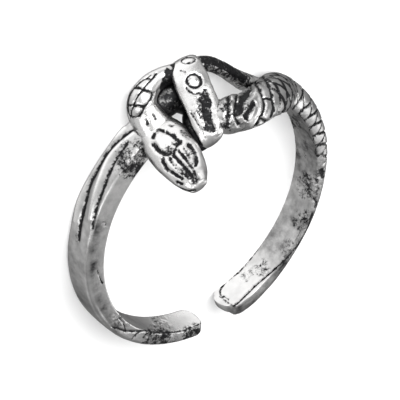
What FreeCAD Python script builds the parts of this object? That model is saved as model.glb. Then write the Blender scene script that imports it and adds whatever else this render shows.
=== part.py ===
"""Snake wrap ring: an open finger ring cast in one piece.

Frame: the ring lies on its side, so the finger axis is +Z through the
origin and the flat back edge of the band rests on z = 0.  +X is the side of
the scaled shank, +Y is the top of the ring, where the snake is knotted, and
the snake's head reaches up from the knot towards +Z.
Lengths are millimetres.  The tables hold proportions of the inner radius.
"""
import FreeCAD, Part
import math
import os

V = FreeCAD.Vector

# name, value in millimetres or degrees
DIMS = [
    ("inner_radius", 8.65),       # finger hole, 17.3 mm across
    ("band_width", 2.214),        # along the finger
    ("band_radius", 9.63),        # outside of the plain left side
    ("band_offset", 0.45),        # the outside is this far off the finger axis
    ("band_offset_angle", 150.0), # thickest here, thinnest at the free end
    ("band_start_angle", 117.0),  # under the snake's neck
    ("band_sweep_angle", 149.3),  # to the free end beside the gap
    ("edge_round", 0.22),         # outer edges of the plain side
    ("end_round", 0.75),          # corners of its free end
    ("wall_reach", 14.0),         # half length of the cutting tools
]

# Each strand of the snake is a row of oval sections.
# angle:  degrees round the finger from +X
# radius: from the finger axis to the section's centre
# height: above the resting plane
# half_w, half_t: half the section across the strand and through it
COLUMNS = ("angle", "radius", "height", "half_w", "half_t")

STRANDS = {
    # free end, scaled side, shoulder, and the curl at the front, which ends
    # below the strap
    "body": [
        (-78.4, 1.022, 0.128, 0.088, 0.080),
        (-77.8, 1.022, 0.126, 0.108, 0.100),
        (-76.0, 1.024, 0.124, 0.126, 0.122),
        (-72.0, 1.026, 0.122, 0.134, 0.134),
        (-60.0, 1.022, 0.120, 0.137, 0.134),
        (-45.0, 1.014, 0.120, 0.137, 0.122),
        (-25.0, 1.015, 0.120, 0.137, 0.120),
        (2.0, 1.020, 0.120, 0.137, 0.128),
        (20.0, 1.030, 0.122, 0.142, 0.133),
        (36.0, 1.040, 0.130, 0.150, 0.138),
        (49.0, 1.040, 0.145, 0.160, 0.145),
        (60.4, 1.036, 0.288, 0.156, 0.150),
        (73.5, 1.037, 0.408, 0.150, 0.147),
        (83.2, 1.046, 0.473, 0.148, 0.146),
        (90.8, 1.088, 0.488, 0.138, 0.138),
        (95.5, 1.092, 0.492, 0.118, 0.118),
        (98.4, 1.090, 0.488, 0.084, 0.084),
    ],
    # from inside the curl, below the strap and the neck, to the plain side
    "link": [
        (91.6, 1.060, 0.428, 0.105, 0.105),
        (93.9, 1.042, 0.320, 0.105, 0.105),
        (95.6, 1.040, 0.215, 0.100, 0.100),
        (98.3, 1.080, 0.142, 0.100, 0.100),
        (102.5, 1.155, 0.110, 0.105, 0.118),
        (107.5, 1.160, 0.106, 0.105, 0.118),
        (113.0, 1.095, 0.106, 0.100, 0.100),
        (119.0, 1.040, 0.112, 0.098, 0.090),
        (125.0, 1.040, 0.128, 0.090, 0.080),
    ],
    # the neck rises behind the head and runs over the back of the knot,
    # then down to the shoulder
    "arch": [
        (115.7, 1.140, 0.132, 0.115, 0.105),
        (114.9, 1.236, 0.104, 0.118, 0.110),
        (112.9, 1.312, 0.086, 0.106, 0.110),
        (108.3, 1.346, 0.062, 0.074, 0.098),
        (103.8, 1.338, 0.054, 0.060, 0.085),
        (98.9, 1.320, 0.062, 0.060, 0.068),
        (93.4, 1.305, 0.074, 0.064, 0.062),
        (87.3, 1.283, 0.083, 0.062, 0.058),
        (80.3, 1.196, 0.083, 0.060, 0.056),
        (73.7, 1.112, 0.083, 0.063, 0.060),
        (67.2, 1.056, 0.088, 0.072, 0.070),
        (60.3, 1.019, 0.108, 0.085, 0.085),
    ],
    # the neck's front, from the arch down into the head
    "neck": [
        (111.8, 1.318, 0.082, 0.080, 0.085),
        (113.6, 1.285, 0.105, 0.098, 0.095),
        (114.8, 1.232, 0.142, 0.112, 0.100),
        (115.5, 1.172, 0.195, 0.124, 0.100),
        (116.0, 1.122, 0.262, 0.130, 0.090),
    ],
    # neck to snout, lying along the finger
    "head": [
        (114.7, 1.170, 0.055, 0.105, 0.090),
        (115.6, 1.150, 0.122, 0.118, 0.095),
        (115.5, 1.130, 0.168, 0.124, 0.102),
        (115.8, 1.112, 0.232, 0.148, 0.110),
        (116.4, 1.100, 0.319, 0.172, 0.116),
        (117.8, 1.094, 0.427, 0.175, 0.118),
        (118.8, 1.090, 0.540, 0.169, 0.114),
        (119.8, 1.088, 0.632, 0.153, 0.104),
        (120.8, 1.082, 0.715, 0.131, 0.089),
        (121.6, 1.076, 0.776, 0.105, 0.072),
        (122.1, 1.070, 0.818, 0.076, 0.052),
    ],
    # from the underside at the front, over the curl and the arch, and down
    # behind them
    "strap": [
        (105.0, 0.985, 0.490, 0.080, 0.045),
        (104.0, 1.032, 0.530, 0.095, 0.054),
        (102.5, 1.085, 0.520, 0.112, 0.064),
        (100.6, 1.140, 0.448, 0.124, 0.068),
        (99.0, 1.190, 0.366, 0.128, 0.070),
        (97.7, 1.243, 0.262, 0.132, 0.070),
        (96.4, 1.302, 0.166, 0.136, 0.068),
        (95.6, 1.332, 0.092, 0.126, 0.064),
        (94.0, 1.305, 0.035, 0.110, 0.060),
        (91.6, 1.235, 0.015, 0.102, 0.056),
        (89.9, 1.160, 0.020, 0.098, 0.050),
    ],
    # low fill between the head and the strap
    "web": [
        (97.7, 1.020, 0.160, 0.050, 0.050),
        (101.8, 1.030, 0.256, 0.060, 0.050),
        (104.9, 1.035, 0.354, 0.065, 0.050),
        (107.2, 1.030, 0.465, 0.060, 0.050),
        (108.7, 1.020, 0.541, 0.050, 0.040),
    ],
}

doc = FreeCAD.newDocument("snake_wrap_ring")
sheet = doc.addObject("Spreadsheet::Sheet", "Dims")
for row, (alias, value) in enumerate(DIMS, start=2):
    sheet.set("A%d" % row, alias)
    sheet.set("B%d" % row, "%g" % value)
    sheet.setAlias("B%d" % row, alias)
doc.recompute()
size = dict(DIMS)


def bind(obj, **links):
    """Bind each property to an expression of the sheet's cells."""
    for prop, text in links.items():
        obj.setExpression(prop.replace("__", "."), text)


def point(row):
    c = dict(zip(COLUMNS, row))
    a = math.radians(c["angle"])
    return V(c["radius"] * math.cos(a), c["radius"] * math.sin(a), c["height"])


def even_rows(rows, step):
    """Ovals at even steps along the smooth line through a strand's rows:
    centre, half width and half thickness of each."""
    data = []
    for row in rows:
        c = dict(zip(COLUMNS, row))
        data.append((*point(row), c["half_w"], c["half_t"]))
    gaps = [math.dist(a[:3], b[:3]) for a, b in zip(data, data[1:])]
    slopes = []
    for i in range(len(data)):
        lo, hi = max(i - 1, 0), min(i + 1, len(data) - 1)
        before, after = gaps[max(i - 1, 0)], gaps[min(i, len(gaps) - 1)]
        run_in = [(b - a) / before for a, b in zip(data[lo], data[i])]
        run_out = [(b - a) / after for a, b in zip(data[i], data[hi])]
        if i == 0:
            run_in = run_out
        if i == len(data) - 1:
            run_out = run_in
        slopes.append([(a * after + b * before) / (before + after)
                       for a, b in zip(run_in, run_out)])
    count = max(3, round(sum(gaps) / step))
    out = []
    for k in range(count + 1):
        left = sum(gaps) * k / count
        i = 0
        while i < len(gaps) - 1 and left > gaps[i]:
            left -= gaps[i]
            i += 1
        u = min(left / gaps[i], 1.0)
        h = ((2 * u - 3) * u * u + 1, ((u - 2) * u + 1) * u * gaps[i],
             (3 - 2 * u) * u * u, (u - 1) * u * u * gaps[i])
        out.append([h[0] * p + h[1] * m + h[2] * q + h[3] * n for p, m, q, n in
                    zip(data[i], slopes[i], data[i + 1], slopes[i + 1])])
    return [(V(*r[:3]), r[3], r[4]) for r in out]


# distance between sections; the strap's turns are the tightest
SECTION_STEP = {"strap": 0.10, "web": 0.10}


def strand(name, rows):
    """Loft one strand through its oval sections.  Each section is square to
    the strand, with its thickness away from the finger.  The strap climbs
    from the finger and turns back to it, so its width is set instead: it
    runs round the finger."""
    ovals = even_rows(rows, SECTION_STEP.get(name, 0.13))
    centres = [o[0] for o in ovals]
    sections = []
    for i, (centre, half_w, half_t) in enumerate(ovals):
        along = centres[min(i + 1, len(ovals) - 1)] - centres[max(i - 1, 0)]
        along.normalize()
        if name == "strap":
            across = V(centre.y, -centre.x, 0)
            across = across - along * across.dot(along)
            across.normalize()
            out = along.cross(across)
        else:
            out = V(centre.x, centre.y, 0)
            out = out - along * out.dot(along)
            out.normalize()
            across = out.cross(along)
        oval = doc.addObject("Part::Ellipse", "%s_section_%02d" % (name, i))
        oval.Placement = FreeCAD.Placement(V(), FreeCAD.Rotation(across, out, along, "ZXY"))
        bind(oval,
             MajorRadius="Dims.inner_radius * %.4f" % max(half_w, half_t),
             MinorRadius="Dims.inner_radius * %.4f" % min(half_w, half_t),
             Placement__Base__x="Dims.inner_radius * %.5f" % centre.x,
             Placement__Base__y="Dims.inner_radius * %.5f" % centre.y,
             Placement__Base__z="Dims.inner_radius * %.5f" % centre.z)
        sections.append(oval)
    loft = doc.addObject("Part::Loft", name)
    loft.Sections = sections
    loft.Solid = True
    loft.Ruled = False
    loft.Closed = False
    return loft


strands = [strand(name, rows) for name, rows in STRANDS.items()]
doc.recompute()

knot = doc.addObject("Part::MultiFuse", "knot")
knot.Shapes = strands
knot.Refine = False
doc.recompute()

# the casting is flat where it rests, flush with the band's back edge
below = doc.addObject("Part::Box", "below_rest")
bind(below,
     Length="Dims.wall_reach * 2", Width="Dims.wall_reach * 2", Height="Dims.wall_reach",
     Placement__Base__x="-Dims.wall_reach",
     Placement__Base__y="-Dims.wall_reach",
     Placement__Base__z="-Dims.wall_reach")
flat_knot = doc.addObject("Part::Cut", "flat_knot")
flat_knot.Base = knot
flat_knot.Tool = below
flat_knot.Refine = False
doc.recompute()

# plain left side: a sector whose round outside is off the finger axis, so
# that it thins towards its free end
plain = doc.addObject("Part::Cylinder", "plain_side")
plain.Placement = FreeCAD.Placement(V(), FreeCAD.Rotation(V(0, 0, 1), size["band_start_angle"]))
bind(plain,
     Radius="Dims.band_radius", Height="Dims.band_width", Angle="Dims.band_sweep_angle",
     Placement__Base__x="Dims.band_offset * cos(Dims.band_offset_angle * 1 deg)",
     Placement__Base__y="Dims.band_offset * sin(Dims.band_offset_angle * 1 deg)")
doc.recompute()


def edges_where(shape, test):
    return [i for i, e in enumerate(shape.Edges, start=1) if test(e)]


end_angle = math.radians(size["band_start_angle"] + size["band_sweep_angle"])


def free_end_corner(e):
    """A straight edge square to the finger, on the free end."""
    if e.Curve.TypeId != "Part::GeomLine":
        return False
    along = e.Vertexes[-1].Point - e.Vertexes[0].Point
    return abs(along.z) < 1e-6 and abs(along.x * math.sin(end_angle) - along.y * math.cos(end_angle)) < 1e-6


def outer_rim(e):
    return (e.Curve.TypeId == "Part::GeomCircle"
            and abs(e.Curve.Radius - size["band_radius"]) < 1e-6)


# the free end's corners are round, and so are the outer edges
round_end = doc.addObject("Part::Fillet", "round_end")
round_end.Base = plain
round_end.Edges = [(i, size["end_round"], size["end_round"])
                   for i in edges_where(plain.Shape, free_end_corner)]
doc.recompute()
soft_plain = doc.addObject("Part::Fillet", "soft_plain_side")
soft_plain.Base = round_end
soft_plain.Edges = [(i, size["edge_round"], size["edge_round"])
                    for i in edges_where(round_end.Shape, outer_rim)]
doc.recompute()

# the finger's space is cut from both; its seam line stands in the gap
# between the two ends
finger = doc.addObject("Part::Cylinder", "finger_space")
finger.Placement = FreeCAD.Placement(V(), FreeCAD.Rotation(V(0, 0, 1), 274))
bind(finger,
     Radius="Dims.inner_radius", Height="Dims.wall_reach * 2",
     Placement__Base__z="-Dims.wall_reach")
doc.recompute()
open_knot = doc.addObject("Part::Cut", "open_knot")
open_knot.Base = flat_knot
open_knot.Tool = finger
open_knot.Refine = False
open_plain = doc.addObject("Part::Cut", "open_plain_side")
open_plain.Base = soft_plain
open_plain.Tool = finger
doc.recompute()

ring = doc.addObject("Part::Fuse", "snake_ring")
ring.Base = open_plain
ring.Tool = open_knot
ring.Refine = False
ring.Label = "snake_ring"
ring.Placement = FreeCAD.Placement(V(0, 0, 0), FreeCAD.Rotation(V(0, 0, 1), 0))
doc.recompute()

PARTS = [ring]

for obj in doc.Objects:
    bad = [s for s in obj.State if s in ("Invalid", "Error")]
    if bad:
        raise RuntimeError("%s is %s" % (obj.Label, bad))
for obj in PARTS:
    shape = obj.Shape
    if shape.isNull() or not shape.isValid() or len(shape.Solids) != 1:
        raise RuntimeError("%s has no single valid solid: %d" % (obj.Label, len(shape.Solids)))

os.makedirs("parts", exist_ok=True)
for obj in PARTS:
    obj.Shape.exportStep(os.path.join("parts", obj.Label + ".step"))
    box = obj.Shape.BoundBox
    print("%s volume %.2f mm3, faces %d, x %.3f..%.3f y %.3f..%.3f z %.3f..%.3f" % (
        obj.Label, obj.Shape.Volume, len(obj.Shape.Faces),
        box.XMin, box.XMax, box.YMin, box.YMax, box.ZMin, box.ZMax))
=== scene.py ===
"""Snake wrap ring in antique silver: the looks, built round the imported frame.

The ring lies on its side on a pale floor.  Tables are in proportions of the
inner radius, carved details in the drawing plane of the viewing direction
(400 units across), everything else in millimetres until it becomes a mesh.
"""

import math

import bpy
import numpy as np
from mathutils import Matrix, Vector
from mathutils.bvhtree import BVHTree


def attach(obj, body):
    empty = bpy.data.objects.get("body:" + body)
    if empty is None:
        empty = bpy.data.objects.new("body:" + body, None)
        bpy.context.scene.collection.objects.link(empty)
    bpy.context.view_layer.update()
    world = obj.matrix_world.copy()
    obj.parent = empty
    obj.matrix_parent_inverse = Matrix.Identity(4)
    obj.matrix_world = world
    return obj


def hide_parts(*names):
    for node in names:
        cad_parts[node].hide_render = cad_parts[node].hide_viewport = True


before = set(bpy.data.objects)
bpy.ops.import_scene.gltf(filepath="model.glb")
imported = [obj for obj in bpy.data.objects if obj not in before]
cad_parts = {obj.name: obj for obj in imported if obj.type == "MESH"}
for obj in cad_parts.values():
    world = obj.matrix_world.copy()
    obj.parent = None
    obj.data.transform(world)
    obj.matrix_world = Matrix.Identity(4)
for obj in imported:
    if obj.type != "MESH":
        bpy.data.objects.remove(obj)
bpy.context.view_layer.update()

R = 8.65
WIDTH = 2.214
MM = 0.001

# ---------------------------------------------------------------- strands
# angle round the finger, radius, height, half width, half thickness
STRANDS = {
    "body": [
        (-78.4, 1.022, 0.128, 0.088, 0.080),
        (-77.8, 1.022, 0.126, 0.108, 0.100),
        (-76.0, 1.024, 0.124, 0.126, 0.122),
        (-72.0, 1.026, 0.122, 0.134, 0.134),
        (-60.0, 1.022, 0.120, 0.137, 0.134),
        (-45.0, 1.014, 0.120, 0.137, 0.122),
        (-25.0, 1.015, 0.120, 0.137, 0.120),
        (2.0, 1.020, 0.120, 0.137, 0.128),
        (20.0, 1.030, 0.122, 0.142, 0.133),
        (36.0, 1.040, 0.130, 0.150, 0.138),
        (49.0, 1.040, 0.145, 0.160, 0.145),
        (60.4, 1.036, 0.288, 0.156, 0.150),
        (73.5, 1.037, 0.408, 0.150, 0.147),
        (83.2, 1.046, 0.473, 0.148, 0.146),
        (90.8, 1.088, 0.488, 0.138, 0.138),
        (95.5, 1.092, 0.492, 0.118, 0.118),
        (98.4, 1.090, 0.488, 0.084, 0.084),
    ],
    "link": [
        (91.6, 1.060, 0.428, 0.105, 0.105),
        (93.9, 1.042, 0.320, 0.105, 0.105),
        (95.6, 1.040, 0.215, 0.100, 0.100),
        (98.3, 1.080, 0.142, 0.100, 0.100),
        (102.5, 1.155, 0.110, 0.105, 0.118),
        (107.5, 1.160, 0.106, 0.105, 0.118),
        (113.0, 1.095, 0.106, 0.100, 0.100),
        (119.0, 1.040, 0.112, 0.098, 0.090),
        (125.0, 1.040, 0.128, 0.090, 0.080),
    ],
    "arch": [
        (115.7, 1.140, 0.132, 0.115, 0.105),
        (114.9, 1.236, 0.104, 0.118, 0.110),
        (112.9, 1.312, 0.086, 0.106, 0.110),
        (108.3, 1.346, 0.062, 0.074, 0.098),
        (103.8, 1.338, 0.054, 0.060, 0.085),
        (98.9, 1.320, 0.062, 0.060, 0.068),
        (93.4, 1.305, 0.074, 0.064, 0.062),
        (87.3, 1.283, 0.083, 0.062, 0.058),
        (80.3, 1.196, 0.083, 0.060, 0.056),
        (73.7, 1.112, 0.083, 0.063, 0.060),
        (67.2, 1.056, 0.088, 0.072, 0.070),
        (60.3, 1.019, 0.108, 0.085, 0.085),
    ],
    "neck": [
        (111.8, 1.318, 0.082, 0.080, 0.085),
        (113.6, 1.285, 0.105, 0.098, 0.095),
        (114.8, 1.232, 0.142, 0.112, 0.100),
        (115.5, 1.172, 0.195, 0.124, 0.100),
        (116.0, 1.122, 0.262, 0.130, 0.090),
    ],
    "head": [
        (114.7, 1.170, 0.055, 0.105, 0.090),
        (115.6, 1.150, 0.122, 0.118, 0.095),
        (115.5, 1.130, 0.168, 0.124, 0.102),
        (115.8, 1.112, 0.232, 0.148, 0.110),
        (116.4, 1.100, 0.319, 0.172, 0.116),
        (117.8, 1.094, 0.427, 0.175, 0.118),
        (118.8, 1.090, 0.540, 0.169, 0.114),
        (119.8, 1.088, 0.632, 0.153, 0.104),
        (120.8, 1.082, 0.715, 0.131, 0.089),
        (121.6, 1.076, 0.776, 0.105, 0.072),
        (122.1, 1.070, 0.818, 0.076, 0.052),
    ],
    "strap": [
        (105.0, 0.985, 0.490, 0.080, 0.045),
        (104.0, 1.032, 0.530, 0.095, 0.054),
        (102.5, 1.085, 0.520, 0.112, 0.064),
        (100.6, 1.140, 0.448, 0.124, 0.068),
        (99.0, 1.190, 0.366, 0.128, 0.070),
        (97.7, 1.243, 0.262, 0.132, 0.070),
        (96.4, 1.302, 0.166, 0.136, 0.068),
        (95.6, 1.332, 0.092, 0.126, 0.064),
        (94.0, 1.305, 0.035, 0.110, 0.060),
        (91.6, 1.235, 0.015, 0.102, 0.056),
        (89.9, 1.160, 0.020, 0.098, 0.050),
    ],
    "web": [
        (97.7, 1.020, 0.160, 0.050, 0.050),
        (101.8, 1.030, 0.256, 0.060, 0.050),
        (104.9, 1.035, 0.354, 0.065, 0.050),
        (107.2, 1.030, 0.465, 0.060, 0.050),
        (108.7, 1.020, 0.541, 0.050, 0.040),
    ],
}
# spacing of the surface points, mm
STEP = {"body": 0.055, "link": 0.08, "arch": 0.045, "neck": 0.05,
        "head": 0.045, "strap": 0.045, "web": 0.06}

# ---------------------------------------------------------------- carving
# The direction the ring is carved from, as right, up and towards-the-eye
# vectors, and the place of the eye.
RIGHT = np.array([0.7933, 0.0, 0.6088])
UP = np.array([0.3706, 0.7934, -0.4830])
BACK = np.array([-0.4830, 0.6088, 0.6294])
EYE = BACK * 190.3 + np.array([0.0, 0.0, 2.032])
REACH = 2948.0
CENTRE = (211.3, 216.6)

# strand, half width (drawing units), depth in mm (negative stands up),
# tarnish and painted shade, points
def oval(cx, cy, rx, ry, turn=0.0, start=0.0, end=360.0):
    """An oval, or part of one, as points."""
    out = []
    c, t = math.cos(math.radians(turn)), math.sin(math.radians(turn))
    for k in range(19):
        a = math.radians(start + (end - start) * k / 18)
        u, v = rx * math.cos(a), ry * math.sin(a)
        out.append((cx + u * c - v * t, cy + u * t + v * c))
    return out


GROOVES = [
    # plain side: groove along the middle, ridges beside it, front crease
    ("plain", 1.9, 0.12, 1.0, [(77.6, 240), (79.5, 226), (82, 214), (89, 186), (96, 171), (104, 157), (113, 145), (123, 136), (132, 129)]),
    ("plain", 3.2, -0.13, 0.0, [(134, 133), (120, 144), (108, 158), (98, 182), (93, 200), (90, 218)]),
    ("plain", 3.0, -0.10, 0.0, [(124, 128), (110, 139), (98, 153), (87, 172), (79, 196), (75, 220)]),
    ("plain", 1.7, 0.09, 0.95, [(126.5, 143), (117, 156), (110, 170), (100, 196), (95, 212), (92, 228)]),
    ("plain", 2.2, 0.03, 0.1, [(92, 228), (90, 245), (89, 267), (93, 296), (102.5, 314), (114, 331)]),
    ("plain", 0.9, 0.02, 0.9, [(97, 270), (99.5, 277), (102, 283)]),
    ("plain", 1.1, 0.05, 0.9, [(112, 327), (125, 331), (138, 331.5), (150, 330)]),
    ("plain", 0.9, 0.04, 0.8, [(120, 319), (124, 325), (126, 332)]),
    ("plain", 0.9, 0.04, 0.8, [(132, 340), (136, 335), (141, 331)]),
    # neck scales on the outer side of the arch, and painted shade down its inner side
    ("arch", 1.2, 0.08, 1.0, [(156, 72.5), (151.7, 78.3), (147, 83), (143.3, 87.3)]),
    ("arch", 1.2, 0.08, 1.0, [(142.5, 88), (138, 94), (135, 99.4), (132.8, 105), (130.5, 111), (130.5, 116)]),
    ("arch", 1.0, 0.06, 0.95, [(150, 74.5), (144.4, 77.8), (138.5, 82.3), (133.5, 87), (129.5, 93), (127.6, 99), (126.8, 105), (127.5, 111), (129.5, 116.5)]),
    ("arch", 1.1, 0.07, 0.95, [(144.4, 77.8), (148, 77.5), (151.7, 78.3)]),
    ("arch", 1.5, 0.08, 1.0, [(132.5, 86.8), (137, 87), (142, 88.5), (148, 90), (152.8, 92.8)]),
    ("arch", 1.4, 0.08, 1.0, [(152.8, 92.8), (150.5, 98.5), (146.5, 103.5), (143.9, 106.5), (142, 111), (138.3, 115.3)]),
    ("arch", 1.2, 0.07, 1.0, [(126.8, 104.5), (132.8, 105), (138, 105), (144, 106.3)]),
    ("arch", 1.2, 0.07, 1.0, [(130, 116), (134, 116.8), (138.3, 115.3)]),
    # a band of painted shade only, nothing cut
    ("arch", 9.5, 0.0, 1.0, [(181, 68), (171, 80), (167.5, 92), (168, 104)]),
    # head: mouth line, plates, eyes, nose
    ("head", 1.3, 0.10, 1.0, [(157, 171), (166, 180), (176, 186.5), (187, 190.3), (195, 189.5)]),
    ("head", 2.9, 0.10, 0.95, [(153.7, 143.5), (156, 147.5), (160, 151), (165, 153), (168.5, 150.5)]),
    ("head", 2.9, 0.10, 0.95, [(167, 131), (172, 134.5), (176, 138), (180, 140.5)]),
    ("head", 1.8, 0.07, 0.9, [(179, 141), (175.5, 146), (172.5, 152.5)]),
    ("head", 2.8, 0.04, 0.55, [(166, 145), (170, 148)]),
    ("head", 1.9, 0.07, 0.9, [(155.5, 129.8), (159, 128.8), (163, 130.5)]),
    ("head", 1.6, 0.06, 0.9, [(153.8, 132.5), (152.4, 137)]),
    ("head", 2.7, 0.12, 1.0, [(172.5, 154), (179, 161), (186, 169), (191, 175)]),
    ("head", 2.0, 0.10, 0.9, [(178, 150), (185, 158), (192, 168), (195.5, 177)]),
    ("head", 2.6, 0.10, 0.95, [(188, 143.5), (192, 147), (195, 153), (196.2, 159), (195, 164)]),
    ("head", 1.5, 0.05, 0.55, [(184, 147), (186, 151), (188, 154)]),
    ("head", 2.5, 0.10, 0.95, [(161.8, 158.5), (163, 164), (167, 169), (174, 173.5), (181, 177.5)]),
    ("head", 2.6, 0.05, 0.65, [(168.5, 157), (173, 163), (178, 169), (182.5, 174)]),
    ("head", 4.9, 0.05, 0.80, [(183, 168), (188, 174), (194, 179.5)]),
    ("head", 4.0, 0.03, 0.55, [(163, 150), (169, 149), (174, 144)]),
    ("head", 4.0, 0.03, 0.45, [(186, 147), (190, 154), (191, 161)]),
    ("head", 3.6, 0.03, 0.45, [(183, 131), (188, 136)]),
    ("head", 1.7, 0.10, 1.0, [(176.6, 181.6), (181, 183.2)]),
    ("head", 1.9, 0.07, 0.85, [(153.4, 114.5), (155, 118)]),
    ("neck", 1.9, 0.07, 0.85, [(153.4, 114.5), (155, 118)]),
    ("arch", 1.9, 0.07, 0.85, [(153.4, 114.5), (155, 118)]),
    ("neck", 1.9, 0.07, 0.9, [(145.8, 119.5), (147, 123)]),
    ("head", 1.9, 0.07, 0.9, [(145.8, 119.5), (147, 123)]),
    ("head", 1.7, 0.07, 0.85, [(139.2, 124.5), (140.3, 128), (142, 132)]),
    ("head", 1.8, 0.06, 0.7, [(169.5, 123.6), (171, 124.6)]),
    # strap: oval on top, ringed boss, half scale, long recess, ridge
    ("strap", 1.0, 0.05, 0.8, oval(188, 59.5, 7.2, 3.2, -8)),
    ("strap", 1.6, 0.10, 1.0, oval(193.5, 80, 7.6, 6.6, 20)),
    ("strap", 3.2, -0.08, 0.0, [(193, 80), (194, 80)]),
    ("strap", 1.4, 0.07, 1.0, oval(194, 85, 8.5, 7.5, 20, 35, 150)),
    ("strap", 5.4, 0.13, 0.92, [(204, 93), (205.5, 100), (206.5, 110), (208.5, 120), (209.5, 127)]),
    ("strap", 4.6, 0.04, 0.55, [(198, 94), (200, 103), (202, 113), (205, 126)]),
    ("strap", 1.2, 0.03, 0.6, [(190, 78), (184, 71), (180, 70)]),
    ("strap", 3.0, -0.07, 0.0, [(209, 86), (214.5, 100), (217.5, 114), (217, 131)]),
    ("strap", 1.3, 0.05, 0.6, [(190, 112), (198, 125), (205, 138)]),
    # rod behind, underside strip: dark, partly oxide and partly painted shade
    ("arch", 4.6, 0.03, 1.0, [(204, 59), (213, 61), (223, 65), (233, 71), (243, 78)]),
    # belly ridges of the curl
    ("body", 1.9, 0.14, 1.0, [(226.5, 92), (227.8, 105), (227, 118), (226, 127)]),
    ("body", 1.9, -0.06, 0.0, [(231.3, 96), (231, 108), (231.5, 119)]),
    ("body", 1.7, 0.14, 1.0, [(236, 94), (235.3, 106), (235.6, 116), (238.5, 124)]),
    ("body", 4.3, 0.24, 1.0, [(247, 88), (243, 97), (239.8, 105), (239.5, 112)]),
    ("body", 2.4, -0.12, 0.0, [(256.5, 87), (253.5, 96), (247.5, 106), (241.5, 114.5), (246, 121)]),
    ("body", 3.5, 0.16, 1.0, [(252.5, 103), (249, 110), (245.5, 116)]),
    ("body", 1.9, -0.07, 0.0, [(257.5, 94), (260.5, 104), (258, 115), (251, 126)]),
    ("body", 1.8, 0.14, 1.0, [(252, 80), (258, 87.5), (263, 97), (264.3, 109), (259.5, 119), (253, 130)]),
    ("body", 1.6, 0.12, 1.0, [(263.5, 97), (272, 98.5)]),
    ("body", 1.6, 0.12, 1.0, [(259.5, 116.5), (269, 123.5)]),
    ("body", 1.6, 0.12, 1.0, [(262, 76), (269, 86), (272.5, 98), (273, 110), (269, 123.5)]),
    # rim round the pad at the right shank's end
    ("body", 1.1, 0.04, 0.60, [(258, 250), (249, 262), (240, 272), (230, 280), (222.5, 287.5), (220.5, 293), (222, 298), (232, 305.5)]),
    ("body", 1.1, 0.05, 0.95, [(232, 305.5), (236, 305.5), (254, 288), (270, 274), (284, 262), (297, 248), (307, 232), (313, 214)]),
    ("body", 0.9, 0.04, 0.9, [(220, 297), (225, 297.5), (229, 300)]),
    ("plain", 1.0, 0.04, 0.9, [(150, 331.5), (165, 333), (182, 331), (196, 326), (206, 321)]),
    # right shank: patch and small line below the scales
    ("body", 3.2, 0.05, 1.0, [(322, 171), (323, 177)]),
    ("body", 1.2, 0.05, 0.9, [(314, 199), (317, 203), (316, 208)]),
]
# the scales run on over the neck's front
GROOVES += [("neck",) + g[1:] for g in GROOVES if g[0] == "arch" and g[2] > 0 and g[4][0][0] < 153]

# strand, centre, reach (drawing units), tarnish and painted shade: speckled dark patches
PATCHES = [
    ("plain", (133, 160), 26, 1.25),
    ("plain", (140, 150), 18, 1.3),
    ("plain", (104, 223), 3.5, 0.9),
    ("plain", (160, 341), 24, 1.35),
    ("plain", (195, 336), 18, 1.35),
    ("plain", (120, 322), 14, 0.6),
    ("plain", (160, 322), 14, 0.6),
    ("head", (190, 175), 8, 0.7),
    ("head", (168, 150), 9, 0.6),
    ("head", (188, 150), 6, 0.5),
    ("strap", (199, 108), 14, 0.6),
    ("strap", (205, 96), 9, 0.8),
    ("strap", (196, 92), 9, 0.6),
    ("body", (297, 122), 12, 1.0),
    ("body", (303, 150), 14, 0.6),
    ("body", (309, 185), 20, 0.95),
    ("body", (304, 222), 18, 0.75),
    ("body", (290, 250), 16, 0.7),
    ("body", (262, 268), 14, 0.75),
    ("body", (248, 276), 12, 0.6),
    # the curl's inner fold: painted shade over its oxide
    ("body", (236, 106), 17, 0.85),
    ("body", (227, 124), 11, 1.0),
    ("body", (221, 106), 9, 1.0),
    ("body", (240, 128), 12, 0.55),
    ("body", (322, 172), 7, 0.8),
    # the knot's hole between head and strap: painted shade
    ("web", (188, 132), 24, 1.2),
    ("link", (168, 104), 26, 1.3),
    # the rod behind the strap: painted shade over its oxide
    ("arch", (216, 62), 32, 1.3),
    ("arch", (240, 76), 18, 1.3),
]


# strand, centre, reach, extra veil: painted shade that greys down highlights, mostly at the tips
SHADE_SPOTS = [
    ("head", (204, 177), 15, 0.40),
    ("head", (192, 192), 10, 0.15),
    ("strap", (214, 142), 16, 0.26),
    ("strap", (216, 112), 9, 0.10),
    ("plain", (78, 250), 40, 0.06),
]


def smooth(a, b, x):
    t = np.clip((x - a) / (b - a), 0.0, 1.0)
    return t * t * (3 - 2 * t)


def drawing(P):
    """Points in mm to the drawing plane."""
    q = P - EYE
    depth = -(q @ BACK)
    return np.stack([CENTRE[0] + REACH * (q @ RIGHT) / depth,
                     CENTRE[1] - REACH * (q @ UP) / depth], -1)


def flowing(points):
    """The points joined by a smooth line."""
    if len(points) < 3:
        return points
    p = [points[0]] + list(points) + [points[-1]]
    out = []
    for i in range(1, len(p) - 2):
        for k in range(5):
            u = k / 5
            out.append(tuple(0.5 * (2 * p[i][c] + (p[i + 1][c] - p[i - 1][c]) * u
                                    + (2 * p[i - 1][c] - 5 * p[i][c] + 4 * p[i + 1][c] - p[i + 2][c]) * u * u
                                    + (3 * p[i][c] - p[i - 1][c] - 3 * p[i + 1][c] + p[i + 2][c]) * u ** 3)
                             for c in (0, 1)))
    return out + [points[-1]]


def line_distance(xy, points):
    points = flowing(points)
    best = np.full(len(xy), 1e9)
    for (x0, y0), (x1, y1) in zip(points, points[1:]):
        a = np.array([x0, y0]); b = np.array([x1 - x0, y1 - y0])
        t = np.clip(((xy - a) @ b) / (b @ b), 0, 1)
        best = np.minimum(best, np.hypot(*(xy - a - t[:, None] * b).T))
    return best


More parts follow.
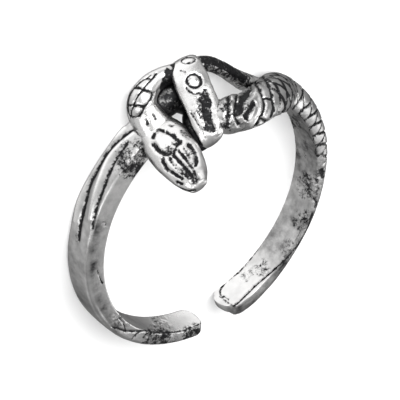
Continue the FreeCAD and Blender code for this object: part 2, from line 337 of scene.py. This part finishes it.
def lumps(P, scale, seed):
    """Smooth value noise, -1..1, on a lattice of the given size in mm."""
    rng = np.random.default_rng(seed)
    table = rng.uniform(-1, 1, 4096)
    q = P / scale
    i = np.floor(q).astype(np.int64)
    f = q - i
    f = f * f * (3 - 2 * f)
    out = 0
    for dx in (0, 1):
        for dy in (0, 1):
            for dz in (0, 1):
                k = ((i[:, 0] + dx) * 73856093 ^ (i[:, 1] + dy) * 19349663 ^ (i[:, 2] + dz) * 83492791) % 4096
                w = (f[:, 0] if dx else 1 - f[:, 0]) * (f[:, 1] if dy else 1 - f[:, 1]) * (f[:, 2] if dz else 1 - f[:, 2])
                out = out + w * table[k]
    return out


# ---------------------------------------------------------------- surfaces
def hermite(rows, step):
    """The strand's middle line, half widths and half thicknesses at even
    steps, the same curve as the casting's."""
    data = []
    for angle, radius, height, half_w, half_t in rows:
        a = math.radians(angle)
        data.append((radius * math.cos(a), radius * math.sin(a), height, half_w, half_t))
    data = np.array(data) * R
    gaps = np.linalg.norm(np.diff(data[:, :3], axis=0), axis=1)
    slopes = []
    for i in range(len(data)):
        lo, hi = max(i - 1, 0), min(i + 1, len(data) - 1)
        before, after = gaps[max(i - 1, 0)], gaps[min(i, len(gaps) - 1)]
        run_in, run_out = (data[i] - data[lo]) / before, (data[hi] - data[i]) / after
        if i == 0:
            run_in = run_out
        if i == len(data) - 1:
            run_out = run_in
        slopes.append((run_in * after + run_out * before) / (before + after))
    count = max(8, int(round(gaps.sum() / step)))
    ends = np.concatenate([[0], np.cumsum(gaps)])
    out = []
    for s in np.linspace(0, ends[-1], count + 1):
        i = min(int(np.searchsorted(ends, s, side="right")) - 1, len(gaps) - 1)
        u = (s - ends[i]) / gaps[i]
        out.append(((2 * u - 3) * u * u + 1) * data[i] + ((u - 2) * u + 1) * u * gaps[i] * slopes[i]
                   + (3 - 2 * u) * u * u * data[i + 1] + (u - 1) * u * u * gaps[i] * slopes[i + 1])
    return np.array(out)


def sweep(name):
    """Grid of points, and of arc length along and angle round the strand."""
    line = hermite(STRANDS[name], STEP[name])
    C, W, T = line[:, :3], line[:, 3], line[:, 4]
    along = np.gradient(C, axis=0)
    along /= np.linalg.norm(along, axis=1)[:, None]
    if name == "strap":
        across = np.stack([C[:, 1], -C[:, 0], 0 * C[:, 0]], -1)
        across -= along * (across * along).sum(1)[:, None]
        across /= np.linalg.norm(across, axis=1)[:, None]
        out = np.cross(along, across)
    else:
        out = np.stack([C[:, 0], C[:, 1], 0 * C[:, 0]], -1)
        out -= along * (out * along).sum(1)[:, None]
        out /= np.linalg.norm(out, axis=1)[:, None]
        across = np.cross(out, along)
    around = int(round(2 * math.pi * math.sqrt((W.max() ** 2 + T.max() ** 2) / 2) / STEP[name]))
    phi = np.linspace(0, 2 * math.pi, around, endpoint=False)
    # the shank is squarer than the rest of the snake
    power = np.full(len(C), 2.0)
    if name == "body":
        angle = np.degrees(np.arctan2(C[:, 1], C[:, 0]))
        power = 3.0 - 1.0 * smooth(10, 45, angle)
    c = np.sign(np.cos(phi))[None] * np.abs(np.cos(phi))[None] ** (2 / power)[:, None]
    t = np.sign(np.sin(phi))[None] * np.abs(np.sin(phi))[None] ** (2 / power)[:, None]
    grid = (C[:, None] + (W[:, None] * c)[..., None] * across[:, None]
            + (T[:, None] * t)[..., None] * out[:, None])
    # round both ends
    for end in (0, -1):
        middle, tangent = C[end], along[end] * (1 if end else -1)
        depth = 0.55 * min(W[end], T[end])
        rings = []
        for k in range(1, 9):
            a = k / 9 * math.pi / 2
            rings.append(middle + (grid[end] - middle) * math.cos(a) + tangent * depth * math.sin(a))
        rings = np.array(rings)
        grid = np.concatenate([grid, rings]) if end else np.concatenate([rings[::-1], grid])
    s = np.concatenate([[0], np.cumsum(np.linalg.norm(np.diff(C, axis=0), axis=1))])
    s = np.concatenate([np.full(8, s[0]), s, np.full(8, s[-1])])
    W = np.concatenate([np.full(8, W[0]), W, np.full(8, W[-1])])
    T = np.concatenate([np.full(8, T[0]), T, np.full(8, T[-1])])
    return grid, s, phi, W, T


def plain_side():
    """Sector whose round outside is off the finger axis, with a slightly
    crowned face, soft edges and round corners at its free end."""
    step = 0.06
    a0, a1 = math.radians(112.0), math.radians(266.3)
    rows = int(round((a1 - a0) * 9.2 / step))
    angle = np.linspace(a0, a1, rows + 1)
    cx, cy = 0.45 * math.cos(math.radians(150)), 0.45 * math.sin(math.radians(150))
    # outside radius seen from the finger axis
    b = cx * np.cos(angle) + cy * np.sin(angle)
    outer = b + np.sqrt(b * b - (cx * cx + cy * cy) + 9.63 ** 2)
    to_end = (a1 - angle) * 9.0
    corner = np.where(to_end < 0.75, 0.75 - np.sqrt(np.clip(0.75 ** 2 - (0.75 - to_end) ** 2, 0, None)), 0.0)
    corner = np.minimum(corner, 0.74)
    per = 116
    t = np.linspace(0, 4, per, endpoint=False)
    # a rounded rectangle as a superellipse-like loop: u across, v through
    loop = []
    for k in t:
        side, f = int(k), k - int(k)
        loop.append([(-1 + 2 * f, -1), (1, -1 + 2 * f), (1 - 2 * f, 1), (-1, 1 - 2 * f)][side])
    loop = np.array(loop)
    grid = np.zeros((rows + 1, per, 3))
    for i in range(rows + 1):
        half_z = WIDTH / 2 - corner[i]
        half_r = (outer[i] - R) / 2
        soft = min(0.26, half_z * 0.9, half_r * 0.9)
        soft_in = 0.10
        u, v = loop[:, 0] * half_z, loop[:, 1] * half_r
        rad = np.where(v > 0, soft, min(soft_in, soft))
        # pull the corner of the rectangle in to its round
        cu, cv = np.clip(u, -(half_z - rad), half_z - rad), np.clip(v, -(half_r - rad), half_r - rad)
        du, dv = u - cu, v - cv
        n = np.hypot(du, dv)
        k = np.where(n > 1e-9, np.minimum(n, rad) / np.maximum(n, 1e-9), 0)
        u, v = cu + du * k, cv + dv * k
        crown = np.where(v > 0, 0.05 * (1 - (u / max(half_z, 1e-6)) ** 2), 0)
        r = R + half_r + v + crown
        grid[i, :, 0] = r * math.cos(angle[i])
        grid[i, :, 1] = r * math.sin(angle[i])
        grid[i, :, 2] = WIDTH / 2 + u
    return grid


def grid_normals(grid):
    du = np.gradient(grid, axis=0)
    dv = np.roll(grid, -1, 1) - np.roll(grid, 1, 1)
    n = np.cross(du, dv)
    n /= np.linalg.norm(n, axis=2)[:, :, None] + 1e-12
    middle = grid.mean(1, keepdims=True)
    if ((grid - middle) * n).sum() < 0:
        n = -n
    return n


def clear(grid):
    """Keep the surface out of the finger's space and above the floor."""
    grid = grid.copy()
    r = np.hypot(grid[..., 0], grid[..., 1])
    k = np.where(r < R, R / r, 1.0)
    grid[..., 0] *= k
    grid[..., 1] *= k
    grid[..., 2] = np.maximum(grid[..., 2], 0.0)
    return grid


def scale_height(s, w, pitch_s, pitch_w, tip=1.0):
    """Overlapping diamond scales: height 0..1 and how deep in a groove."""
    a, b = s / pitch_s, w / pitch_w
    p, q = a + b, a - b
    fp, fq = p - np.floor(p), q - np.floor(q)
    edge = np.minimum(np.minimum(fp, 1 - fp), np.minimum(fq, 1 - fq))
    dome = smooth(0.0, 0.13, edge)
    lift = 0.5 * (fp + fq) if tip > 0 else 1 - 0.5 * (fp + fq)
    return 0.65 * dome + 0.35 * dome * lift, edge


def detail(name, grid, s=None, phi=None, W=None, T=None):
    """Raise scales, cut grooves, and say how dark each point is: tarnish, and the painted shade listed with it."""
    shape = grid.shape[:2]
    grid = clear(grid)
    normal = grid_normals(grid)
    P, N = grid.reshape(-1, 3), normal.reshape(-1, 3)
    move = np.zeros(len(P))
    dark = np.zeros(len(P))
    polish_and_highlight = np.zeros(len(P))
    if name == "body":
        girth = math.pi * (W + T)[:, None] / 2 * 1.0
        w = (phi[None, :] - math.pi / 2) / math.pi * girth
        ss = np.broadcast_to(s[:, None], shape)
        height, edge = scale_height(ss, w, 1.00, 1.90, -1)
        angle = np.degrees(np.arctan2(grid[..., 1], grid[..., 0]))
        # the lines are cut wider towards the shoulder
        wide = 0.17 + 0.12 * smooth(38, 56, angle)
        line = 1 - smooth(0.3 * wide, wide, edge)
        # scales from the shoulder down the outer side of the shank, and on
        # the curl's outer side
        start = smooth(-2, 6, angle) * (grid[..., 1] > -4)
        facing = smooth(0.05, 0.35, np.sin(phi))[None, :] * np.ones(shape)
        side = smooth(-0.75, -0.35, np.sin(phi))[None, :] * np.ones(shape)
        near = np.where(angle > 6, side, facing)
        belly = smooth(s[-1] - 4.9, s[-1] - 4.2, ss)
        amount = start * near * (1 - belly)
        move += (amount * (height - 0.6) * 0.13).ravel()
        dark += (amount * line * 0.95).ravel()
    if name == "arch":
        pass
    xy = drawing(P)
    seen = (N @ BACK) > -0.05
    for strand, half, depth, tarnish_and_shade, points in GROOVES:
        if strand != name:
            continue
        x = np.array([p[0] for p in points]); y = np.array([p[1] for p in points])
        m = seen & (xy[:, 0] > x.min() - 5 * half) & (xy[:, 0] < x.max() + 5 * half)
        m &= (xy[:, 1] > y.min() - 5 * half) & (xy[:, 1] < y.max() + 5 * half)
        k = np.nonzero(m)[0]
        if not len(k):
            continue
        far = line_distance(xy[k], points) / half
        # hand-cut lines wander and fray
        far = np.abs(far + 0.42 * lumps(P[k], 0.22, 9) * smooth(0.3, 1.0, far) * (name != "plain"))
        g = np.exp(-far ** 2 * 1.2) if half < 3.4 or depth < 0 else np.exp(-far ** 4)
        # raised ridges get less veil: rubbed bright, and partly a painted highlight along them
        if depth < 0:
            polish_and_highlight[k] = np.maximum(polish_and_highlight[k], g)
        move[k] -= depth * g
        dark[k] = np.maximum(dark[k], tarnish_and_shade * smooth(0.20, 0.75, g))
        dark[k] = np.maximum(dark[k], 0.30 * tarnish_and_shade * np.exp(-(far * half / (half + 1.6)) ** 2))
    for strand, centre, reach, tarnish_and_shade in PATCHES:
        if strand != name:
            continue
        dist = np.hypot(xy[:, 0] - centre[0], xy[:, 1] - centre[1])
        g = np.where(seen, smooth(reach, reach * 0.35, dist), 0)
        speck = 0.75 + 0.25 * lumps(P, 0.5, 5)
        dark = np.maximum(dark, 0.74 * tarnish_and_shade * g * speck)
        move -= 0.02 * g * smooth(0.0, 0.5, lumps(P, 0.16, 6))
    move += 0.010 * lumps(P, 0.9, 11)
    P = P + N * move[:, None]
    return clear(P.reshape(grid.shape)), dark.reshape(shape), polish_and_highlight


# how grey the open metal is on each strand, partly painted shade; link and web are dark as painted shade in the
# knot's hole
VEIL_AND_SHADE = {"body": 0.42, "link": 0.80, "arch": 0.26, "neck": 0.12,
        "head": 0.15, "strap": 0.13, "web": 0.8, "plain": 0.40}


def dullness_and_shade(name, P):
    """The outer faces of the band are duller than its inside and the
    high parts of the knot: partly a veil, partly painted shade by face."""
    v = np.full(len(P), VEIL_AND_SHADE[name])
    angle = np.degrees(np.arctan2(P[:, 1], P[:, 0])) % 360
    r = np.hypot(P[:, 0], P[:, 1])
    inside = 1 - smooth(R + 0.02, R + 0.2, r)
    if name == "plain":
        front = smooth(WIDTH - 0.25, WIDTH - 0.02, P[:, 2])
        v += 0.10 * (1 - front) * (1 - inside)
        # lighter on the inside towards the free end
        inner_end = inside * smooth(228, 246, angle)
        v = v * (1 - inner_end) + 0.16 * inner_end
    if name == "body":
        # lighter on the inside towards the free end
        inner_end = inside * (1 - smooth(296, 320, np.where(angle < 180, angle + 360, angle)))
        v = v * (1 - inner_end) + 0.24 * inner_end
        v = np.where(inside > 0.5, v + 0.16 * (1 - inner_end), v)
        # greyer along the upper edge of the shank's front half
        v = v + 0.24 * smooth(1.5, 2.0, P[:, 2]) * (1 - inside) * smooth(10, -10, P[:, 1] * 3)
    xy = drawing(P)
    if name == "plain":
        # painted shade: a grey run beside the front crease
        v = v + 0.30 * np.exp(-(line_distance(xy, [(97, 222), (94, 245), (93.5, 267), (97, 292), (107, 313), (118, 328)]) / 4.5) ** 2)
    for strand, centre, reach, extra in SHADE_SPOTS:
        if strand == name:
            v = v + extra * smooth(reach, reach * 0.2, np.hypot(xy[:, 0] - centre[0], xy[:, 1] - centre[1]))
    return v + 0.10 * lumps(P, 1.6, 21) * v / 0.4


def build_mesh(name, grid):
    rows, per = grid.shape[:2]
    verts = grid.reshape(-1, 3)
    i = np.arange(rows - 1)[:, None] * per
    j = np.arange(per)[None, :]
    k = (j + 1) % per
    quads = np.stack([i + j, i + k, i + per + k, i + per + j], -1).reshape(-1, 4)
    first, last = grid[0].mean(0), grid[-1].mean(0)
    verts = np.vstack([verts, first, last])
    nf, nl = len(verts) - 2, len(verts) - 1
    jj = np.arange(per)
    kk = (jj + 1) % per
    cap0 = np.stack([np.full(per, nf), kk, jj], -1)
    base = (rows - 1) * per
    cap1 = np.stack([np.full(per, nl), base + jj, base + kk], -1)
    faces = [tuple(f) for f in quads.tolist()] + [tuple(f) for f in cap0.tolist()] + [tuple(f) for f in cap1.tolist()]
    mesh = bpy.data.meshes.new(name)
    mesh.from_pydata((verts * MM).tolist(), [], faces)
    mesh.validate()
    mesh.update()
    # outward faces
    centre = grid.mean(1)
    q = quads[len(quads) // 2]
    n = np.cross(verts[q[1]] - verts[q[0]], verts[q[2]] - verts[q[0]])
    if n @ (verts[q].mean(0) - centre[(len(quads) // 2) // per]) < 0:
        mesh.flip_normals()
    mesh.polygons.foreach_set("use_smooth", [True] * len(mesh.polygons))
    return mesh, verts


grids = {}
for name in STRANDS:
    grid, s, phi, W, T = sweep(name)
    grids[name] = detail(name, grid, s, phi, W, T)
grids["plain"] = detail("plain", plain_side())

pieces = {}
everything_v, everything_f, offset = [], [], 0
for name, (grid, dark, polish_and_highlight) in grids.items():
    mesh, verts = build_mesh("snake_" + name, grid)
    obj = bpy.data.objects.new("snake_" + name, mesh)
    bpy.context.scene.collection.objects.link(obj)
    pieces[name] = (obj, verts, dark, polish_and_highlight)
    # a lighter copy of the surface, for finding the recesses
    step = 3
    small = grid[::step, ::step]
    rows, per = small.shape[:2]
    i = np.arange(rows - 1)[:, None] * per
    j = np.arange(per)[None, :]
    k = (j + 1) % per
    quads = np.stack([i + j, i + k, i + per + k, i + per + j], -1).reshape(-1, 4)
    everything_v.append(small.reshape(-1, 3))
    everything_f += (quads + offset).tolist()
    offset += rows * per
tree = BVHTree.FromPolygons(np.vstack(everything_v).tolist(), everything_f)

# directions over a half sphere, for how closed in a point is
count = 14
golden = math.pi * (3 - math.sqrt(5))
half = []
for i in range(count):
    z = 1 - (i + 0.5) / count
    ring = math.sqrt(1 - z * z)
    half.append((ring * math.cos(golden * i), ring * math.sin(golden * i), z))
half = np.array(half)


def closed_in(grid, reach=2.2):
    """Share of directions blocked near each point, on a coarse grid that is
    then spread to all points."""
    step = 3
    small = grid[::step, ::step]
    n = grid_normals(small)
    out = np.zeros(small.shape[:2])
    for a in range(small.shape[0]):
        for b in range(small.shape[1]):
            normal = n[a, b]
            t = np.cross(normal, [0.3, 0.7, 0.64])
            t /= np.linalg.norm(t) + 1e-12
            u = np.cross(normal, t)
            start = Vector(small[a, b] + normal * 0.06)
            hits = 0.0
            for h in half:
                ray = Vector(h[0] * t + h[1] * u + h[2] * normal)
                hit = tree.ray_cast(start, ray, reach)
                if hit[0] is not None:
                    hits += h[2] * (1 - 0.5 * hit[3] / reach)
            out[a, b] = hits / half[:, 2].sum()
    rows, per = grid.shape[:2]
    ia = np.arange(rows) / step
    ib = np.arange(per) / step
    ra, rb = small.shape[:2]
    a0 = np.minimum(ia.astype(int), ra - 1); a1 = np.minimum(a0 + 1, ra - 1); fa = (ia - a0)[:, None]
    b0 = ib.astype(int) % rb; b1 = (b0 + 1) % rb; fb = (ib - ib.astype(int))[None, :]
    return ((1 - fa) * (1 - fb) * out[a0][:, b0] + (1 - fa) * fb * out[a0][:, b1]
            + fa * (1 - fb) * out[a1][:, b0] + fa * fb * out[a1][:, b1])


# ---------------------------------------------------------------- material
def silver():
    mat = bpy.data.materials.new("antique_silver")
    mat.use_nodes = True
    tree_ = mat.node_tree
    nodes, links = tree_.nodes, tree_.links
    nodes.clear()
    out = nodes.new("ShaderNodeOutputMaterial")
    bsdf = nodes.new("ShaderNodeBsdfPrincipled")
    bsdf.inputs["Metallic"].default_value = 1.0
    links.new(bsdf.outputs[0], out.inputs[0])
    coord = nodes.new("ShaderNodeTexCoord")

    def noise(scale, detail_, rough=0.6):
        n = nodes.new("ShaderNodeTexNoise")
        n.inputs["Scale"].default_value = scale
        n.inputs["Detail"].default_value = detail_
        n.inputs["Roughness"].default_value = rough
        links.new(coord.outputs["Object"], n.inputs["Vector"])
        return n

    def maths(op, a, b=None, clamp=False):
        m = nodes.new("ShaderNodeMath")
        m.operation = op
        m.use_clamp = clamp
        for k, v in ((0, a), (1, b)):
            if v is None:
                continue
            if hasattr(v, "links"):
                links.new(v, m.inputs[k])
            else:
                m.inputs[k].default_value = v
        return m.outputs[0]

    attr = nodes.new("ShaderNodeAttribute")
    attr.attribute_name = "tarnish_and_shade"
    speck = noise(2600.0, 4.0)
    cloud = noise(420.0, 3.0)
    fine = noise(8000.0, 3.0)
    # tarnish and painted shade gather in recesses and break up at their edge
    both = maths("ADD", maths("MULTIPLY", speck.outputs["Fac"], 0.6), maths("MULTIPLY", fine.outputs["Fac"], 0.4))
    grain = maths("MULTIPLY", maths("SUBTRACT", both, 0.5), 6.5)
    half_way = maths("MULTIPLY", attr.outputs["Fac"], maths("SUBTRACT", 1.15, attr.outputs["Fac"]))
    t = maths("ADD", attr.outputs["Fac"], maths("MULTIPLY", grain, maths("ADD", maths("MULTIPLY", half_way, 2.0), 0.06)))
    cover = nodes.new("ShaderNodeMapRange")
    cover.interpolation_type = "SMOOTHSTEP"
    links.new(t, cover.inputs["Value"])
    cover.inputs["From Min"].default_value = 0.18
    cover.inputs["From Max"].default_value = 0.88
    # thin grey veil over the open metal, partly painted shade
    dull_and_shade = nodes.new("ShaderNodeAttribute")
    dull_and_shade.attribute_name = "veil_and_shade"
    mottle = noise(1500.0, 3.0)
    clouds = maths("ADD", cloud.outputs["Fac"], mottle.outputs["Fac"])
    veil_and_shade = maths("MULTIPLY", dull_and_shade.outputs["Fac"], maths("ADD", maths("MULTIPLY", clouds, 1.5), -0.5), True)
    amount = maths("SUBTRACT", 1.0, maths("MULTIPLY", maths("SUBTRACT", 1.0, cover.outputs["Result"]),
                                          maths("SUBTRACT", 1.0, veil_and_shade)))
    mix = nodes.new("ShaderNodeMix")
    mix.data_type = "RGBA"
    mix.inputs["A"].default_value = (0.74, 0.735, 0.73, 1)
    mix.inputs["B"].default_value = (0.018, 0.018, 0.019, 1)
    links.new(amount, mix.inputs["Factor"])
    links.new(mix.outputs["Result"], bsdf.inputs["Base Color"])
    rough = maths("ADD", maths("MULTIPLY", amount, 0.26), maths("ADD", maths("MULTIPLY", speck.outputs["Fac"], 0.10), 0.19))
    links.new(rough, bsdf.inputs["Roughness"])
    bump = nodes.new("ShaderNodeBump")
    bump.inputs["Strength"].default_value = 0.25
    bump.inputs["Distance"].default_value = 0.00004
    links.new(maths("ADD", fine.outputs["Fac"], speck.outputs["Fac"]), bump.inputs["Height"])
    links.new(bump.outputs["Normal"], bsdf.inputs["Normal"])
    return mat


metal = silver()
for name, (obj, verts, dark, polish_and_highlight) in pieces.items():
    grid = verts[:-2].reshape(grids[name][0].shape)
    # darker where other pieces close a point in: oxide in the hollows, and painted shade between the pieces
    near = closed_in(grid) if name != "plain" or True else 0
    t = np.clip(np.maximum(dark, smooth(0.26, 0.66, near)) , 0, 1).ravel()
    t = np.concatenate([t, [0, 0]])
    layer = obj.data.attributes.new("tarnish_and_shade", "FLOAT", "POINT")
    layer.data.foreach_set("value", t.astype(np.float32))
    layer = obj.data.attributes.new("veil_and_shade", "FLOAT", "POINT")
    dull_and_shade = dullness_and_shade(name, verts) * (1 - 0.85 * np.concatenate([polish_and_highlight, [0, 0]]))
    layer.data.foreach_set("value", np.clip(dull_and_shade, 0, 1).astype(np.float32))
    obj.data.materials.append(metal)
    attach(obj, "root")
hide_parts("snake_ring")

# ---------------------------------------------------------------- studio
w = 1.2


def ground(name, z, colour, glow):
    """A level sheet for the ring to lie on."""
    mesh = bpy.data.meshes.new(name)
    mesh.from_pydata([(-w, -w, z), (w, -w, z), (w, w, z), (-w, w, z)], [], [(0, 1, 2, 3)])
    obj = bpy.data.objects.new(name, mesh)
    bpy.context.scene.collection.objects.link(obj)
    mat = bpy.data.materials.new(name)
    mat.use_nodes = True
    shader = mat.node_tree.nodes["Principled BSDF"]
    shader.inputs["Base Color"].default_value = (colour, colour, colour, 1)
    shader.inputs["Roughness"].default_value = 0.9
    shader.inputs["Emission Color"].default_value = (1, 1, 1, 1)
    shader.inputs["Emission Strength"].default_value = glow
    mesh.materials.append(mat)
    return obj


# white paper to look at; the metal mirrors the room instead
floor = ground("floor", 0.0, 0.84, 0.0)
floor.visible_glossy = False
floor.visible_shadow = False

world = bpy.data.worlds.new("studio")
world.use_nodes = True
wn, wl = world.node_tree.nodes, world.node_tree.links
where = wn.new("ShaderNodeTexCoord")


def towards(direction, start, full):
    """How much a direction lies towards the given one, 0..1."""
    dot = wn.new("ShaderNodeVectorMath")
    dot.operation = "DOT_PRODUCT"
    wl.new(where.outputs["Generated"], dot.inputs[0])
    dot.inputs[1].default_value = tuple(Vector(direction).normalized())
    reach = wn.new("ShaderNodeMapRange")
    reach.interpolation_type = "SMOOTHSTEP"
    reach.inputs["From Min"].default_value = start
    reach.inputs["From Max"].default_value = full
    wl.new(dot.outputs["Value"], reach.inputs["Value"])
    return reach.outputs["Result"]


def level(op, a, b):
    m = wn.new("ShaderNodeMath")
    m.operation = op
    for k, v in ((0, a), (1, b)):
        if hasattr(v, "links"):
            wl.new(v, m.inputs[k])
        else:
            m.inputs[k].default_value = v
    return m.outputs[0]


# pale below, grey at eye level, light overhead; a bright wall behind the
# knot's side and a dark one opposite
split = wn.new("ShaderNodeSeparateXYZ")
ramp = wn.new("ShaderNodeValToRGB")
wl.new(where.outputs["Generated"], split.inputs[0])
wl.new(level("ADD", level("MULTIPLY", split.outputs["Z"], 0.5), 0.5), ramp.inputs["Fac"])
stops = [(0.0, 0.85), (0.44, 0.80), (0.54, 0.42), (0.80, 0.30), (1.0, 0.9)]
ramp.color_ramp.elements[0].position = stops[0][0]
ramp.color_ramp.elements[1].position = stops[-1][0]
for position, value in stops[1:-1]:
    ramp.color_ramp.elements.new(position)
for element, (position, value) in zip(ramp.color_ramp.elements, stops):
    element.position = position
    element.color = (value, value, value, 1)
room = level("MULTIPLY", ramp.outputs["Color"],
             level("SUBTRACT", 1.0, level("MULTIPLY", towards((0.48, -0.61, -0.63), 0.35, 0.90), 0.78)))
room = level("ADD", room, level("MULTIPLY", towards((-0.12, 0.85, -0.45), 0.38, 0.80), 0.80))
wl.new(room, wn["Background"].inputs["Color"])
wn["Background"].inputs["Strength"].default_value = 1.0
bpy.context.scene.world = world
bpy.context.scene.view_settings.view_transform = "Standard"


def area(name, place, aim, size, power, shadow=False):
    light = bpy.data.lights.new(name, "AREA")
    light.use_shadow = shadow
    light.shape = "RECTANGLE"
    light.size, light.size_y = size
    light.energy = power
    obj = bpy.data.objects.new(name, light)
    bpy.context.scene.collection.objects.link(obj)
    obj.location = place
    obj.rotation_euler = (Vector(aim) - Vector(place)).to_track_quat("-Z", "Y").to_euler()
    return obj


area("top", (0.08, 0.30, 0.36), (0, 0, 0), (0.60, 0.42), 2.6, True)
area("left", (-0.42, 0.02, 0.22), (0, 0, 0), (0.26, 0.40), 1.0)
area("right", (0.40, -0.22, 0.30), (0, 0, 0), (0.24, 0.40), 0.7)
area("fill", (-0.10, 0.30, 0.20), (0, 0, 0), (0.20, 0.20), 0.25)

cam = bpy.data.cameras.new("camera")
cam.sensor_width = 36
cam.lens = REACH / 400 * 36
cam.clip_start = 0.01
cam.clip_end = 10
camera = bpy.data.objects.new("camera", cam)
bpy.context.scene.collection.objects.link(camera)
place = EYE - 0.729 * RIGHT + 1.072 * UP
m = Matrix.Identity(4)
for i in range(3):
    m[i][0], m[i][1], m[i][2] = RIGHT[i], UP[i], BACK[i]
    m[i][3] = place[i] * MM
camera.matrix_world = m
bpy.context.scene.camera = camera
